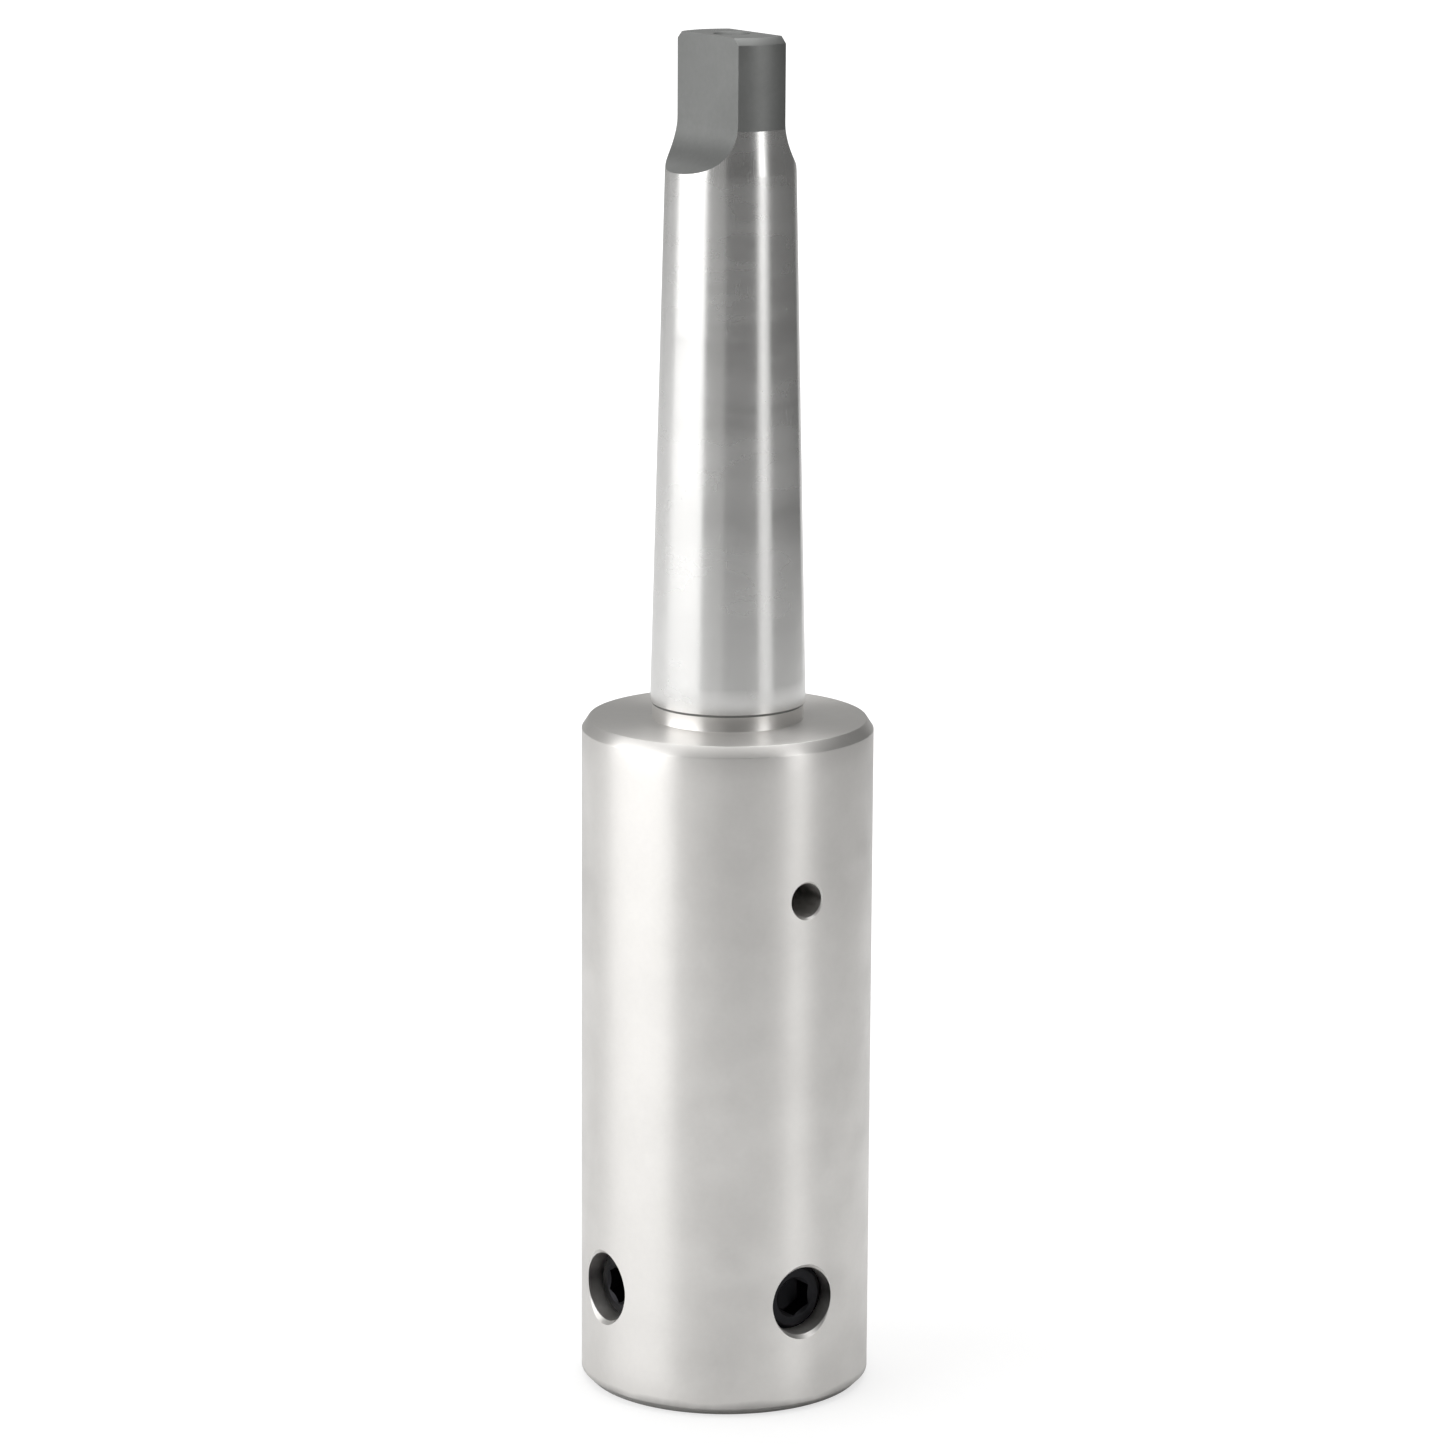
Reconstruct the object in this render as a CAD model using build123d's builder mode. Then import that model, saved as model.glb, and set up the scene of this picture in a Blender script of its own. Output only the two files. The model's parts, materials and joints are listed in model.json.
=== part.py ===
"""Arbor for annular cutters: a tanged Morse taper shank, a socket with two clamp screws and a sprung valve.

All lengths are in millimetres. The axis of the arbor is Z, z = 0 is the open face of the socket, and the tang
points up. The front clamp screw and the coolant hole face -Y, and the side clamp screw faces -X.
"""
from build123d import *
import math
import os

os.makedirs("parts", exist_ok=True)

# Socket for the cutter: a 3/4 inch Weldon shank slides up to the step at the end of the bore.
cutter_shank_diameter = 19.05
cutter_shank_clearance = 0.01  # radial
socket_depth = 34.0
socket_mouth_chamfer = 1.0

# Body: the plain cylinder round the socket, with a turned edge at each end.
body_diameter = 33.5
roof_thickness = 6.6  # steel between the valve chamber and the shoulder
body_foot_chamfer = 0.9
body_top_chamfer_width = 0.8  # radial
body_top_chamfer_height = 1.2  # axial

# Shank: Morse taper No. 2 with a tang, between the shoulder and the end of the tang.
taper_gauge_diameter = 17.78
taper_on_diameter = 0.04995  # change of diameter over one millimetre of length
gauge_plane_offset = 3.0  # shoulder to gauge plane
taper_length = 75.0  # gauge plane to the end of the tang
relief_width = 2.0  # grinding relief where the taper meets the shoulder
relief_depth = 0.3
tang_diameter = 14.0
tang_length = 10.3  # round part above the conical neck
neck_length = 5.0  # conical neck between the taper and the tang
tang_thickness = 6.3
tang_flat_length = 9.5
tang_runout_radius = 6.0
tang_end_chamfer = 0.8
centre_hole_diameter = 2.0
centre_hole_depth = 5.0
centre_cone_diameter = 4.2
centre_cone_angle = 60.0

# Valve chamber above the socket, and the groove that holds the retaining ring.
chamber_diameter = 15.0
groove_lip = 1.2  # socket step to groove
groove_width = 1.1
groove_depth = 0.35
coolant_hole_diameter = 4.0
coolant_hole_gap = 0.65  # top of the raised plunger head to the edge of the hole
coolant_hole_edge = 0.25  # broken edge at the outside

# Clamp screws, M8 with a hexagon socket and a cup point.
screw_height = 13.0
screw_diameter = 8.0
screw_pitch = 1.25
screw_recess = 2.065  # outer end below the cylinder, which makes the screw 5 mm long
screw_bore_clearance = 0.15  # screw point to socket wall, backed off for the cutter
screw_thread_clearance = 0.05  # radial, between the screw and its hole
screw_end_chamfer = 0.6
screw_point_land = 0.85  # flat rim round the cup
screw_cup_angle = 120.0
screw_key_width = 4.0
screw_key_depth = 2.4
screw_hole_edge = 0.45  # broken edge at the outside

# Retaining ring: internal circlip with two lugs for pliers.
ring_thickness = 1.0
ring_clearance = 0.05  # radial, in the groove
ring_width = 2.0  # opposite the gap
ring_end_width = 1.3  # beside the gap
ring_lug_radius = 1.7
ring_lug_hole_diameter = 1.6
ring_lug_angle = 21.0
ring_lug_clearance = 0.45  # radial, lug to the plunger's nose
ring_gap = 0.8

# Washer and rubber seal that lie on the ring.
disc_clearance = 0.06  # radial, in the chamber
washer_thickness = 1.5
washer_edge = 0.2
seal_thickness = 2.0
seal_hole_clearance = 0.7  # radial, round the plunger's nose
seal_squeeze_gap = 0.05  # seal to plunger

# Plunger.
plunger_clearance = 0.08  # radial, in the chamber
plunger_head_thickness = 4.0
plunger_head_edge = 0.3
plunger_nose_diameter = 7.0
plunger_nose_clearance = 0.3  # nose above the step of the socket
plunger_nose_edge = 0.5
pilot_cup_land = 0.75  # flat rim round the cup
pilot_cup_angle = 90.0
spigot_clearance = 0.4  # radial, inside the spring
spigot_height = 5.0
spigot_edge = 0.6
flute_count = 3
flute_radius = 1.6
plunger_travel = 14.0

# Spring.
spring_wire_diameter = 1.2
spring_clearance = 1.5  # radial, outside of the coil to the chamber
spring_turns = 9  # the first and the last are closed
spring_closed_gap = 0.5  # between a closed turn and the next
spring_spare = 3.45  # left before the turns touch, with the plunger raised
spring_ground = 0.3  # ground off each end, so that it sits flat
steps_per_turn = 4

# Worked out from the sizes above.
body_radius = body_diameter / 2
socket_radius = cutter_shank_diameter / 2 + cutter_shank_clearance
chamber_radius = chamber_diameter / 2
groove_radius = chamber_radius + groove_depth
groove_floor = socket_depth + groove_lip
washer_floor = groove_floor + ring_thickness
seal_floor = washer_floor + washer_thickness
plunger_floor = seal_floor + seal_thickness + seal_squeeze_gap
plunger_head_top = plunger_floor + plunger_head_thickness
raised_head_top = plunger_head_top + plunger_travel
chamber_roof = raised_head_top + spring_turns * spring_wire_diameter + spring_spare
coolant_hole_height = raised_head_top + coolant_hole_gap + coolant_hole_diameter / 2
body_length = chamber_roof + roof_thickness
gauge_plane = body_length + gauge_plane_offset
shank_end = gauge_plane + taper_length
tang_foot = shank_end - tang_length
neck_foot = tang_foot - neck_length
nose_radius = plunger_nose_diameter / 2
seal_hole_radius = nose_radius + seal_hole_clearance
screw_tip_radius = socket_radius + screw_bore_clearance
screw_outer_radius = body_radius - screw_recess
screw_length = screw_outer_radius - screw_tip_radius
screw_major_radius = screw_diameter / 2 - screw_thread_clearance


def taper_radius(height):
    """Radius of the Morse taper at a height above the open face."""
    return (taper_gauge_diameter - (height - gauge_plane) * taper_on_diameter) / 2


def radial_plane(outward, height, reach):
    """Plane square to a horizontal direction, at a height and at a distance from the axis."""
    return Plane(origin=outward * reach + UP * height, z_dir=outward)


# Shares of the pitch in a metric thread.
THREAD_DEPTH_SHARE = 0.61
THREAD_CREST_SHARE = 1 / 8

# Directions.
FRONT = Vector(0, -1, 0)
SIDE = Vector(-1, 0, 0)
UP = Vector(0, 0, 1)

# Arbor body: turned outside, ground taper, milled tang, bored inside, drilled across.
relief_radius = taper_radius(body_length) - relief_depth
relief_top = body_length + relief_width
flat_foot = shank_end - tang_flat_length
flat_reach = tang_thickness / 2
runout_reach = flat_reach + tang_runout_radius
cut_reach = runout_reach + tang_diameter
cut_top = shank_end + tang_end_chamfer
with BuildPart() as arbor_body:
    with BuildSketch(Plane.XZ):
        with BuildLine():
            Polyline(
                (0, 0),
                (body_radius - body_foot_chamfer, 0),
                (body_radius, body_foot_chamfer),
                (body_radius, body_length - body_top_chamfer_height),
                (body_radius - body_top_chamfer_width, body_length),
                (relief_radius, body_length),
                (relief_radius, relief_top - relief_depth),
                (taper_radius(relief_top), relief_top),
                (taper_radius(neck_foot), neck_foot),
                (tang_diameter / 2, tang_foot),
                (tang_diameter / 2, shank_end - tang_end_chamfer),
                (tang_diameter / 2 - tang_end_chamfer, shank_end),
                (0, shank_end),
                close=True,
            )
        make_face()
    revolve(axis=Axis.Z)

    # Two parallel flats on the tang, each running out in the radius of the milling cutter.
    with BuildSketch(Plane.XZ):
        with BuildLine():
            CenterArc(
                (runout_reach, flat_foot), tang_runout_radius, start_angle=180, arc_size=90
            )
            Polyline(
                (flat_reach, flat_foot),
                (flat_reach, cut_top),
                (cut_reach, cut_top),
                (cut_reach, flat_foot - tang_runout_radius),
                (runout_reach, flat_foot - tang_runout_radius),
            )
        make_face()
        mirror(about=Plane.YZ)
    extrude(amount=tang_diameter, both=True, mode=Mode.SUBTRACT)

    # Centre hole in the end of the tang, for grinding between centres.
    with Locations((0, 0, shank_end)):
        CounterSinkHole(
            radius=centre_hole_diameter / 2,
            counter_sink_radius=centre_cone_diameter / 2,
            depth=centre_hole_depth,
            counter_sink_angle=centre_cone_angle,
        )

    # Socket, valve chamber and ring groove, bored from the open end.
    with BuildSketch(Plane.XZ):
        with BuildLine():
            Polyline(
                (0, 0),
                (socket_radius + socket_mouth_chamfer, 0),
                (socket_radius, socket_mouth_chamfer),
                (socket_radius, socket_depth),
                (chamber_radius, socket_depth),
                (chamber_radius, groove_floor),
                (groove_radius, groove_floor),
                (groove_radius, groove_floor + groove_width),
                (chamber_radius, groove_floor + groove_width),
                (chamber_radius, chamber_roof),
                (0, chamber_roof),
                close=True,
            )
        make_face()
    revolve(axis=Axis.Z, mode=Mode.SUBTRACT)

    # Two tapped holes for the clamp screws, a quarter turn apart, through the wall of the socket.
    with Locations(*[radial_plane(way, screw_height, body_radius) for way in (FRONT, SIDE)]):
        CounterSinkHole(
            radius=screw_diameter / 2,
            counter_sink_radius=screw_diameter / 2 + screw_hole_edge,
            depth=body_radius - socket_radius / 2,
            counter_sink_angle=90,
        )

    # Coolant hole into the valve chamber.
    with Locations(radial_plane(FRONT, coolant_hole_height, body_radius)):
        CounterSinkHole(
            radius=coolant_hole_diameter / 2,
            counter_sink_radius=coolant_hole_diameter / 2 + coolant_hole_edge,
            depth=body_radius - chamber_radius / 2,
            counter_sink_angle=90,
        )
arbor_body.part.label = "arbor_body"
export_step(arbor_body.part, "parts/arbor_body.step")


def clamp_screw(outward):
    """Cup point set screw with a hexagon socket. Its thread is a row of ring grooves of the right pitch."""
    thread_depth = screw_pitch * THREAD_DEPTH_SHARE
    crest = screw_pitch * THREAD_CREST_SHARE
    thread_start = screw_tip_radius + screw_end_chamfer
    thread_room = screw_length - 2 * screw_end_chamfer
    groove_count = int(thread_room / screw_pitch)
    side_play = (thread_room - groove_count * screw_pitch) / 2
    end_radius = screw_major_radius - screw_end_chamfer
    cup_radius = end_radius - screw_point_land
    cup_depth = cup_radius / math.tan(math.radians(screw_cup_angle / 2))
    outline = [
        (0, screw_tip_radius + cup_depth),
        (cup_radius, screw_tip_radius),
        (end_radius, screw_tip_radius),
        (screw_major_radius, thread_start),
    ]
    for turn in range(groove_count):
        groove = thread_start + side_play + turn * screw_pitch
        outline += [
            (screw_major_radius, groove + crest / 2),
            (screw_major_radius - thread_depth, groove + screw_pitch / 2 - crest / 2),
            (screw_major_radius - thread_depth, groove + screw_pitch / 2 + crest / 2),
            (screw_major_radius, groove + screw_pitch - crest / 2),
        ]
    outline += [
        (screw_major_radius, screw_outer_radius - screw_end_chamfer),
        (end_radius, screw_outer_radius),
        (0, screw_outer_radius),
    ]
    # The outline lies in the upright plane through the screw's axis: first the radius, then the reach.
    upright = Plane(origin=UP * screw_height, x_dir=UP, z_dir=UP.cross(outward))
    key_face = radial_plane(outward, screw_height, screw_outer_radius)
    with BuildPart() as screw:
        with BuildSketch(upright):
            with BuildLine():
                Polyline(*outline, close=True)
            make_face()
        revolve(axis=Axis(UP * screw_height, outward))
        with BuildSketch(key_face):
            RegularPolygon(radius=screw_key_width / 2, side_count=6, major_radius=False)
        extrude(amount=-screw_key_depth, mode=Mode.SUBTRACT)
    return screw.part


screw_front = clamp_screw(FRONT)
screw_front.label = "set_screw_front"
export_step(screw_front, "parts/set_screw_front.step")

screw_side = clamp_screw(SIDE)
screw_side.label = "set_screw_side"
export_step(screw_side, "parts/set_screw_side.step")

# Retaining ring: an internal circlip that narrows towards its gap and ends in two drilled lugs.
ring_outer_radius = groove_radius - ring_clearance
ring_inner_radius = ring_outer_radius - (ring_width + ring_end_width) / 2
ring_offset = (ring_width - ring_end_width) / 2
lug_tip = nose_radius + ring_lug_clearance
lug_place = lug_tip + ring_lug_radius
lug_neck = ring_outer_radius - ring_end_width / 2 - lug_place
with BuildPart() as retaining_ring:
    with BuildSketch(Plane.XY.offset(groove_floor)):
        Circle(ring_outer_radius)
        with Locations((0, ring_offset)):
            Circle(ring_inner_radius, mode=Mode.SUBTRACT)
        with PolarLocations(lug_place, 2, 90 - ring_lug_angle, 2 * ring_lug_angle, endpoint=True):
            Circle(ring_lug_radius)
            Rectangle(lug_neck, 2 * ring_lug_radius, align=(Align.MIN, Align.CENTER))
            Circle(ring_lug_hole_diameter / 2, mode=Mode.SUBTRACT)
        with Locations((0, lug_tip)):
            Rectangle(
                ring_gap, ring_outer_radius, align=(Align.CENTER, Align.MIN), mode=Mode.SUBTRACT
            )
    extrude(amount=ring_thickness)
retaining_ring.part.label = "retaining_ring"
export_step(retaining_ring.part, "parts/retaining_ring.step")

# Washer that lies on the ring and carries the seal.
with BuildPart() as seal_washer:
    with BuildSketch(Plane.XY.offset(washer_floor)):
        Circle(chamber_radius - disc_clearance)
        Circle(seal_hole_radius, mode=Mode.SUBTRACT)
    extrude(amount=washer_thickness)
    chamfer(seal_washer.edges().filter_by(GeomType.CIRCLE), length=washer_edge)
seal_washer.part.label = "seal_washer"
export_step(seal_washer.part, "parts/seal_washer.step")

# Flat rubber ring that the plunger closes on.
with BuildPart() as valve_seal:
    with BuildSketch(Plane.XY.offset(seal_floor)):
        Circle(chamber_radius - disc_clearance)
        Circle(seal_hole_radius, mode=Mode.SUBTRACT)
    extrude(amount=seal_thickness)
valve_seal.part.label = "valve_seal"
export_step(valve_seal.part, "parts/valve_seal.step")

# Plunger: nose with a centre for the pilot pin, fluted head, and a spigot inside the spring.
plunger_radius = chamber_radius - plunger_clearance
nose_tip = socket_depth + plunger_nose_clearance
cup_radius = nose_radius - plunger_nose_edge - pilot_cup_land
cup_depth = cup_radius / math.tan(math.radians(pilot_cup_angle / 2))
spigot_radius = chamber_radius - spring_clearance - spring_wire_diameter - spigot_clearance
spigot_top = plunger_head_top + spigot_height
with BuildPart() as ejector_plunger:
    with BuildSketch(Plane.XZ):
        with BuildLine():
            Polyline(
                (0, nose_tip + cup_depth),
                (cup_radius, nose_tip),
                (nose_radius - plunger_nose_edge, nose_tip),
                (nose_radius, nose_tip + plunger_nose_edge),
                (nose_radius, plunger_floor),
                (plunger_radius - plunger_head_edge, plunger_floor),
                (plunger_radius, plunger_floor + plunger_head_edge),
                (plunger_radius, plunger_head_top - plunger_head_edge),
                (plunger_radius - plunger_head_edge, plunger_head_top),
                (spigot_radius, plunger_head_top),
                (spigot_radius, spigot_top - spigot_edge),
                (spigot_radius - spigot_edge, spigot_top),
                (0, spigot_top),
                close=True,
            )
        make_face()
    revolve(axis=Axis.Z)
    with BuildSketch(Plane.XY.offset(plunger_floor)):
        with PolarLocations(plunger_radius, flute_count):
            Circle(flute_radius)
    extrude(amount=plunger_head_thickness, mode=Mode.SUBTRACT)
ejector_plunger.part.label = "ejector_plunger"
export_step(ejector_plunger.part, "parts/ejector_plunger.step")

# Spring: one wire with closed and ground ends. Each quarter turn is a pair of tangent arcs.
wire_radius = spring_wire_diameter / 2
coil_radius = chamber_radius - spring_clearance - wire_radius
spring_foot = plunger_head_top + wire_radius - spring_ground
spring_head = chamber_roof - wire_radius + spring_ground
closed_pitch = spring_wire_diameter + spring_closed_gap
open_pitch = (spring_head - spring_foot - 2 * closed_pitch) / (spring_turns - 2)


def wire_height(turn):
    """Height of the wire's centre line. The closed turns start and end level and ease into the open ones."""
    foot = min(turn, 1)
    head = max(0, turn - (spring_turns - 1))
    middle = turn - foot - head
    return spring_foot + closed_pitch * (foot**2 + 2 * head - head**2) + open_pitch * middle


def wire_point(turn):
    """Point on the wire's centre line."""
    angle = 2 * math.pi * turn
    return Vector(coil_radius * math.cos(angle), coil_radius * math.sin(angle), wire_height(turn))


def wire_heading(turn):
    """Direction of the wire, level at its two ends."""
    angle = 2 * math.pi * turn
    step = 1 / steps_per_turn
    rise = 0
    if 0 < turn < spring_turns:
        rise = (wire_height(turn + step) - wire_height(turn - step)) / (2 * step)
    length = 2 * math.pi * coil_radius
    return Vector(-length * math.sin(angle), length * math.cos(angle), rise).normalized()


def arc_pair(start, start_way, end, end_way):
    """Point and direction where two arcs of equal tangent length meet, between two points of the wire."""
    chord = end - start
    square = 2 * (start_way.dot(end_way) - 1)
    linear = -2 * chord.dot(start_way + end_way)
    reach = (-linear - math.sqrt(linear**2 - 4 * square * chord.dot(chord))) / (2 * square)
    first = start + start_way * reach
    second = end - end_way * reach
    return (first + second) * 0.5, (second - first).normalized()


with BuildPart() as ejector_spring:
    with BuildLine() as wire_line:
        stops = [quarter / steps_per_turn for quarter in range(spring_turns * steps_per_turn + 1)]
        foot_end = wire_point(stops[0]) - wire_heading(stops[0]) * spring_wire_diameter
        Line(foot_end, wire_point(stops[0]))
        for low, high in zip(stops, stops[1:]):
            meeting, way = arc_pair(wire_point(low), wire_heading(low), wire_point(high), wire_heading(high))
            TangentArc(wire_point(low), meeting, tangent=wire_heading(low))
            TangentArc(meeting, wire_point(high), tangent=way)
        head_end = wire_point(stops[-1]) + wire_heading(stops[-1]) * spring_wire_diameter
        Line(wire_point(stops[-1]), head_end)
    with BuildSketch(Plane(origin=foot_end, z_dir=wire_heading(stops[0]))):
        Circle(wire_radius)
    sweep()
    split(bisect_by=Plane.XY.offset(plunger_head_top), keep=Keep.TOP)
    split(bisect_by=Plane.XY.offset(chamber_roof), keep=Keep.BOTTOM)
ejector_spring.part.label = "ejector_spring"
export_step(ejector_spring.part, "parts/ejector_spring.step")

# The least gap between two turns, measured on points along the wire.
sample_step = 0.02
samples = [wire_point(sample_step * count) for count in range(int(spring_turns / sample_step) + 1)]
half_turn = int(0.5 / sample_step)
least_gap = min(
    (samples[low] - samples[high]).length - spring_wire_diameter
    for low in range(len(samples))
    for high in range(low + half_turn, len(samples))
)
print(f"ejector_spring: least gap between turns {least_gap:.2f} mm")
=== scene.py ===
import json
import math

import bmesh
import bpy
from mathutils import Matrix, Vector


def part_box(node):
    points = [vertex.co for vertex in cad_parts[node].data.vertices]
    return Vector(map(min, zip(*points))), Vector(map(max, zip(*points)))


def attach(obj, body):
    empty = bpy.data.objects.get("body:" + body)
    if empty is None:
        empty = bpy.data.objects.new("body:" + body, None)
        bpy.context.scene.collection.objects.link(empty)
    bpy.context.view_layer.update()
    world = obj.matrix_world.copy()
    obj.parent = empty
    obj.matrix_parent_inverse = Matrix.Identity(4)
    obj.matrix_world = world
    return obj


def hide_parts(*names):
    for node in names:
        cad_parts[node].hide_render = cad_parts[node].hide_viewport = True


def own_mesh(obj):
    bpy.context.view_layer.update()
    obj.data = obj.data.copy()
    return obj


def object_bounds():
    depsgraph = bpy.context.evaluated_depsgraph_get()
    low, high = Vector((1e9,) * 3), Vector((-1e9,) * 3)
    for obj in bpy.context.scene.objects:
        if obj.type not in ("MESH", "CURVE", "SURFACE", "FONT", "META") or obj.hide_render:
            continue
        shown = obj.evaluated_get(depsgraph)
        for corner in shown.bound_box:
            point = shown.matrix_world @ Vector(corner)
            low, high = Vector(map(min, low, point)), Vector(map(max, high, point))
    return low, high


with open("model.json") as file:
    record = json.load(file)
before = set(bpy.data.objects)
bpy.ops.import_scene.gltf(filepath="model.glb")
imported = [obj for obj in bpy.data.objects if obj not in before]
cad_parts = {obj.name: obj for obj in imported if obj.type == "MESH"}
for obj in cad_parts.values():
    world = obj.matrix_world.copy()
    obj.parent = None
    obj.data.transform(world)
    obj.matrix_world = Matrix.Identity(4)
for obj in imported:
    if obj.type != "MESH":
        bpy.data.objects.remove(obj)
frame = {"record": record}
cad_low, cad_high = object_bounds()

MM = 0.001  # every piece is drawn in millimetres and brought to metres when it is finished
ROUND_STEPS = 256
SMALL_ROUND_STEPS = 96
RING_SPACING = 3.0
WELD = 1e-4  # points closer than this are one point
OVERLAP = 1.0  # how far a cutting tool stands out of what it cuts
FULL_TURN = 2 * math.pi
FRONT = (0, -1, 0)
SIDE = (-1, 0, 0)

body_radius = cad_high.x / MM
shank_end = cad_high.z / MM
taper_length = 75.0
gauge_radius = 8.89
taper_on_radius = 0.024975
gauge_plane = shank_end - taper_length
shoulder = gauge_plane - 3.0
foot_chamfer = 0.9
top_chamfer_width = 0.8
top_chamfer_height = 1.2
relief_top = shoulder + 2.0
relief_depth = 0.3
tang_radius = 7.0
tang_foot = shank_end - 10.3
neck_foot = tang_foot - 5.0
tang_end_chamfer = 0.8
tang_half_thickness = 3.15
tang_runout = 6.0
flat_foot = shank_end - 9.5
centre_hole_radius = 1.0
centre_cone_radius = 2.1
centre_cone_depth = 1.905
centre_hole_depth = 5.0
socket_radius = frame["record"]["mounts"][0]["dims"]["r_mm"]
socket_depth = 34.0
mouth_chamfer = 1.0
chamber_radius = 7.5
chamber_roof = 72.0
groove_radius = 7.85
groove_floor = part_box("retaining_ring")[0].z / MM
groove_roof = groove_floor + 1.1
screw_height = (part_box("set_screw_front")[0].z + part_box("set_screw_front")[1].z) / 2 / MM
screw_hole_radius = 4.0
screw_hole_edge = 0.45
coolant_height = 60.4
coolant_radius = 2.0
coolant_edge = 0.25


def taper_radius(height):
    """Radius of the Morse taper at a height above the open face."""
    return gauge_radius - (height - gauge_plane) * taper_on_radius


def section(points, rounding, segments=2):
    """Outline of a turned piece, as (radius, height): corners rounded and long runs divided."""
    bm = bmesh.new()
    corners = [bm.verts.new((radius, 0, height)) for radius, height in points]
    for start, end in zip(corners, corners[1:]):
        bm.edges.new((start, end))
    if rounding:
        bmesh.ops.bevel(
            bm, geom=corners[1:-1], offset=rounding, offset_type="OFFSET", segments=segments,
            profile=0.5, affect="VERTICES", material=-1,
        )
    for edge in [e for e in bm.edges if e.calc_length() > 2 * RING_SPACING]:
        bmesh.ops.subdivide_edges(bm, edges=[edge], cuts=int(edge.calc_length() / RING_SPACING))
    return bm


def lathe(points, rounding=0.0, steps=ROUND_STEPS):
    """Solid turned about Z from an outline that starts and ends on the axis."""
    bm = section(points, rounding)
    bmesh.ops.spin(
        bm, geom=bm.verts[:] + bm.edges[:], cent=(0, 0, 0), axis=(0, 0, 1), angle=FULL_TURN,
        steps=steps, use_merge=True,
    )
    bmesh.ops.remove_doubles(bm, verts=bm.verts, dist=WELD)
    bmesh.ops.recalc_face_normals(bm, faces=bm.faces)
    return bm


def as_object(bm, name):
    """Object made from a bmesh, still in millimetres."""
    mesh = bpy.data.meshes.new(name)
    bm.to_mesh(mesh)
    bm.free()
    made = bpy.data.objects.new(name, mesh)
    bpy.context.scene.collection.objects.link(made)
    return made


def carve(piece, *cuts):
    """Cuts, joins or meets a piece with other solids, each given as (operation, bmesh)."""
    tools = [as_object(bm, "cutting_tool") for operation, bm in cuts]
    for (operation, bm), tool in zip(cuts, tools):
        boolean = piece.modifiers.new(operation.lower(), "BOOLEAN")
        boolean.operation = operation
        boolean.solver = "EXACT"
        boolean.object = tool
    evaluated = piece.evaluated_get(bpy.context.evaluated_depsgraph_get())
    mesh = bpy.data.meshes.new_from_object(evaluated)
    piece.modifiers.clear()
    piece.data = mesh
    for tool in tools:
        bpy.data.objects.remove(tool)


def dress(piece, material_list, body, node, sharp=30):
    """Brings a finished piece to metres, shades it and lets it stand for its CAD node."""
    piece.data.transform(Matrix.Scale(MM, 4))
    piece.data.materials.clear()
    for material in material_list:
        piece.data.materials.append(material)
    piece.data.shade_smooth()
    piece.data.set_sharp_from_angle(angle=math.radians(sharp))
    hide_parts(node)
    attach(piece, body)


def facing(outward, height=0.0):
    """Turns a solid made about Z so that its Z points in a horizontal direction, at a height."""
    return Matrix.Translation((0, 0, height)) @ Vector(outward).to_track_quat("Z", "Y").to_matrix().to_4x4()


arbor = as_object(
    lathe(
        [
            (0, shank_end - centre_hole_depth),
            (centre_hole_radius, shank_end - centre_hole_depth + 0.6),
            (centre_hole_radius, shank_end - centre_cone_depth),
            (centre_cone_radius, shank_end),
            (tang_radius - tang_end_chamfer, shank_end),
            (tang_radius, shank_end - tang_end_chamfer),
            (tang_radius, tang_foot),
            (taper_radius(neck_foot), neck_foot),
            (taper_radius(relief_top), relief_top),
            (taper_radius(shoulder) - relief_depth, relief_top - relief_depth),
            (taper_radius(shoulder) - relief_depth, shoulder),
            (body_radius - top_chamfer_width, shoulder),
            (body_radius, shoulder - top_chamfer_height),
            (body_radius, foot_chamfer),
            (body_radius - foot_chamfer, 0),
            (socket_radius + mouth_chamfer, 0),
            (socket_radius, mouth_chamfer),
            (socket_radius, socket_depth),
            (chamber_radius, socket_depth),
            (chamber_radius, groove_floor),
            (groove_radius, groove_floor),
            (groove_radius, groove_roof),
            (chamber_radius, groove_roof),
            (chamber_radius, chamber_roof),
            (0, chamber_roof),
        ],
        rounding=0.06,
    ),
    "arbor",
)


def cross_hole(outward, height, radius, edge, depth):
    """Drill with a small countersink, lying along a horizontal direction and open at the cylinder."""
    drill = lathe(
        [
            (0, depth),
            (radius, depth),
            (radius, body_radius - edge),
            (radius + 2 * edge, body_radius + edge),
            (0, body_radius + edge),
        ],
        steps=96,
    )
    bmesh.ops.transform(drill, matrix=facing(outward, height), verts=drill.verts)
    return drill


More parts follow.
